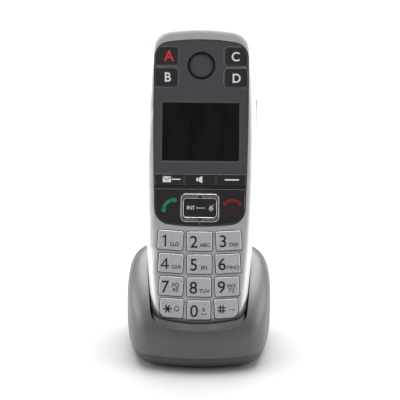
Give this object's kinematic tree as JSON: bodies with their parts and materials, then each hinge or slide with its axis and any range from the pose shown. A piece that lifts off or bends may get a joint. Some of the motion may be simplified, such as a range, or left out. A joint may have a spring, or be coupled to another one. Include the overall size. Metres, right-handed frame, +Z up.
{
  "type": "cordless phone with base",
  "caption": "Slim cordless handset with display and keypad, leaning in the pocket of a rounded charging base.",
  "frame": {"origin": "centre of the whole object's footprint, on the table plane", "axes": "+Z up, front towards -Y, +X to the right of someone facing the keypad"},
  "size_m": [0.0762, 0.0906, 0.167],
  "materials": {
    "silver": "metallic silver paint",
    "charcoal": "dark charcoal, satin",
    "panel_gloss": "glossy charcoal",
    "panel_black": "black, satin gloss",
    "ring_black": "black gloss",
    "key_silver": "metallic silver paint, glossy",
    "lens": "dark tinted window",
    "lcd": "dark, switched off",
    "base_grey": "mid grey, soft satin",
    "base_dark": "dark grey, satin",
    "rubber_black": "matt",
    "silicone": "translucent grey",
    "board_green": "solder mask",
    "steel": "zinc plated",
    "gold": "gold plated",
    "cell_green": "shrink sleeve",
    "socket_black": "moulded"
  },
  "bodies": {
    "base": {"base_upper_shell": "base_grey", "base_lower_shell": "base_dark", "base_screws": "steel", "rubber_feet": "rubber_black", "base_board": "board_green", "ballast_plate": "steel", "power_inlet": "socket_black", "line_socket": "socket_black", "pin_springs": "steel", "contact_board": "board_green"},
    "handset": {"front_shell": "silver", "back_shell": "charcoal", "front_fascia": "panel_gloss", "speaker_ring": "ring_black", "speaker_disc": "panel_gloss", "display_lens": "lens", "lcd_module": "lcd", "keypad_mat": "silicone", "main_board": "board_green", "handset_antenna": "steel", "earpiece_speaker": "steel", "loudspeaker": "socket_black", "microphone": "steel", "battery_left": "cell_green", "battery_right": "cell_green", "battery_tray": "socket_black", "battery_contacts": "steel", "charge_pads": "gold", "handset_screws": "steel"},
    "key_1_body": {"key_1": "key_silver"},
    "key_2_body": {"key_2": "key_silver"},
    "key_3_body": {"key_3": "key_silver"},
    "key_4_body": {"key_4": "key_silver"},
    "key_5_body": {"key_5": "key_silver"},
    "key_6_body": {"key_6": "key_silver"},
    "key_7_body": {"key_7": "key_silver"},
    "key_8_body": {"key_8": "key_silver"},
    "key_9_body": {"key_9": "key_silver"},
    "key_star_body": {"key_star": "key_silver"},
    "key_0_body": {"key_0": "key_silver"},
    "key_hash_body": {"key_hash": "key_silver"},
    "direct_key_a_body": {"direct_key_a": "panel_gloss"},
    "direct_key_b_body": {"direct_key_b": "panel_gloss"},
    "direct_key_c_body": {"direct_key_c": "panel_gloss"},
    "direct_key_d_body": {"direct_key_d": "panel_gloss"},
    "soft_key_left_body": {"soft_key_left": "panel_black"},
    "soft_key_middle_body": {"soft_key_middle": "panel_black"},
    "soft_key_right_body": {"soft_key_right": "panel_black"},
    "talk_key_body": {"talk_key": "panel_black"},
    "end_key_body": {"end_key": "panel_black"},
    "nav_post_body": {"nav_post": "panel_black"},
    "nav_ring_body": {"nav_ring": "key_silver"},
    "nav_plate_body": {"nav_plate": "panel_black"},
    "volume_rocker_body": {"volume_rocker": "silver"},
    "battery_cover_body": {"battery_cover": "charcoal"},
    "charge_pins_body": {"charge_pins": "gold"}
  },
  "joints": [
    {"name": "handset_lift", "type": "slide", "parent": "base", "child": "handset", "axis": [0, 0.3746, 0.9272], "range_m": [0, 0.07]},
    {"name": "key_1_press", "type": "slide", "parent": "handset", "child": "key_1_body", "axis": [0, 0.9272, -0.3746], "range_m": [0, 0.0006], "stiffness_N_per_m": 1200, "springref_m": -0.0006},
    {"name": "key_2_press", "type": "slide", "parent": "handset", "child": "key_2_body", "axis": [0, 0.9272, -0.3746], "range_m": [0, 0.0006], "stiffness_N_per_m": 1200, "springref_m": -0.0006},
    {"name": "key_3_press", "type": "slide", "parent": "handset", "child": "key_3_body", "axis": [0, 0.9272, -0.3746], "range_m": [0, 0.0006], "stiffness_N_per_m": 1200, "springref_m": -0.0006},
    {"name": "key_4_press", "type": "slide", "parent": "handset", "child": "key_4_body", "axis": [0, 0.9272, -0.3746], "range_m": [0, 0.0006], "stiffness_N_per_m": 1200, "springref_m": -0.0006},
    {"name": "key_5_press", "type": "slide", "parent": "handset", "child": "key_5_body", "axis": [0, 0.9272, -0.3746], "range_m": [0, 0.0006], "stiffness_N_per_m": 1200, "springref_m": -0.0006},
    {"name": "key_6_press", "type": "slide", "parent": "handset", "child": "key_6_body", "axis": [0, 0.9272, -0.3746], "range_m": [0, 0.0006], "stiffness_N_per_m": 1200, "springref_m": -0.0006},
    {"name": "key_7_press", "type": "slide", "parent": "handset", "child": "key_7_body", "axis": [0, 0.9272, -0.3746], "range_m": [0, 0.0006], "stiffness_N_per_m": 1200, "springref_m": -0.0006},
    {"name": "key_8_press", "type": "slide", "parent": "handset", "child": "key_8_body", "axis": [0, 0.9272, -0.3746], "range_m": [0, 0.0006], "stiffness_N_per_m": 1200, "springref_m": -0.0006},
    {"name": "key_9_press", "type": "slide", "parent": "handset", "child": "key_9_body", "axis": [0, 0.9272, -0.3746], "range_m": [0, 0.0006], "stiffness_N_per_m": 1200, "springref_m": -0.0006},
    {"name": "key_star_press", "type": "slide", "parent": "handset", "child": "key_star_body", "axis": [0, 0.9272, -0.3746], "range_m": [0, 0.0006], "stiffness_N_per_m": 1200, "springref_m": -0.0006},
    {"name": "key_0_press", "type": "slide", "parent": "handset", "child": "key_0_body", "axis": [0, 0.9272, -0.3746], "range_m": [0, 0.0006], "stiffness_N_per_m": 1200, "springref_m": -0.0006},
    {"name": "key_hash_press", "type": "slide", "parent": "handset", "child": "key_hash_body", "axis": [0, 0.9272, -0.3746], "range_m": [0, 0.0006], "stiffness_N_per_m": 1200, "springref_m": -0.0006},
    {"name": "direct_key_a_press", "type": "slide", "parent": "handset", "child": "direct_key_a_body", "axis": [0, 0.9272, -0.3746], "range_m": [0, 0.0004], "stiffness_N_per_m": 1500, "springref_m": -0.0005},
    {"name": "direct_key_b_press", "type": "slide", "parent": "handset", "child": "direct_key_b_body", "axis": [0, 0.9272, -0.3746], "range_m": [0, 0.0004], "stiffness_N_per_m": 1500, "springref_m": -0.0005},
    {"name": "direct_key_c_press", "type": "slide", "parent": "handset", "child": "direct_key_c_body", "axis": [0, 0.9272, -0.3746], "range_m": [0, 0.0004], "stiffness_N_per_m": 1500, "springref_m": -0.0005},
    {"name": "direct_key_d_press", "type": "slide", "parent": "handset", "child": "direct_key_d_body", "axis": [0, 0.9272, -0.3746], "range_m": [0, 0.0004], "stiffness_N_per_m": 1500, "springref_m": -0.0005},
    {"name": "soft_key_left_press", "type": "slide", "parent": "handset", "child": "soft_key_left_body", "axis": [0, 0.9272, -0.3746], "range_m": [0, 0.0004], "stiffness_N_per_m": 1500, "springref_m": -0.0005},
    {"name": "soft_key_middle_press", "type": "slide", "parent": "handset", "child": "soft_key_middle_body", "axis": [0, 0.9272, -0.3746], "range_m": [0, 0.0004], "stiffness_N_per_m": 1500, "springref_m": -0.0005},
    {"name": "soft_key_right_press", "type": "slide", "parent": "handset", "child": "soft_key_right_body", "axis": [0, 0.9272, -0.3746], "range_m": [0, 0.0004], "stiffness_N_per_m": 1500, "springref_m": -0.0005},
    {"name": "talk_key_press", "type": "slide", "parent": "handset", "child": "talk_key_body", "axis": [0, 0.9272, -0.3746], "range_m": [0, 0.0004], "stiffness_N_per_m": 1500, "springref_m": -0.0005},
    {"name": "end_key_press", "type": "slide", "parent": "handset", "child": "end_key_body", "axis": [0, 0.9272, -0.3746], "range_m": [0, 0.0004], "stiffness_N_per_m": 1500, "springref_m": -0.0005},
    {"name": "nav_press", "type": "slide", "parent": "handset", "child": "nav_post_body", "axis": [0, 0.9272, -0.3746], "range_m": [0, 0.0004], "stiffness_N_per_m": 1500, "springref_m": -0.0005},
    {"name": "nav_up_down", "type": "hinge", "parent": "nav_post_body", "child": "nav_ring_body", "pos_m": [0, -0.01244, 0.07905], "axis": [1, 0, 0], "range_deg": [-2, 2], "stiffness_Nm_per_rad": 0.2},
    {"name": "nav_left_right", "type": "hinge", "parent": "nav_ring_body", "child": "nav_plate_body", "pos_m": [0, -0.01244, 0.07905], "axis": [0, 0.3746, 0.9272], "range_deg": [-2, 2], "stiffness_Nm_per_rad": 0.15},
    {"name": "volume_rock", "type": "hinge", "parent": "handset", "child": "volume_rocker_body", "pos_m": [0.0284, 0.00761, 0.11372], "axis": [0, 0.9272, -0.3746], "range_deg": [-1.2, 1.2], "stiffness_Nm_per_rad": 0.5},
    {"name": "battery_cover_off", "type": "slide", "parent": "handset", "child": "battery_cover_body", "axis": [0, 0.9272, -0.3746], "range_m": [0, 0.03]},
    {"name": "charge_pins_sink", "type": "slide", "parent": "base", "child": "charge_pins_body", "axis": [0, -0.3746, -0.9272], "range_m": [0, 0.001], "stiffness_N_per_m": 300, "springref_m": -0.0008}
  ]
}
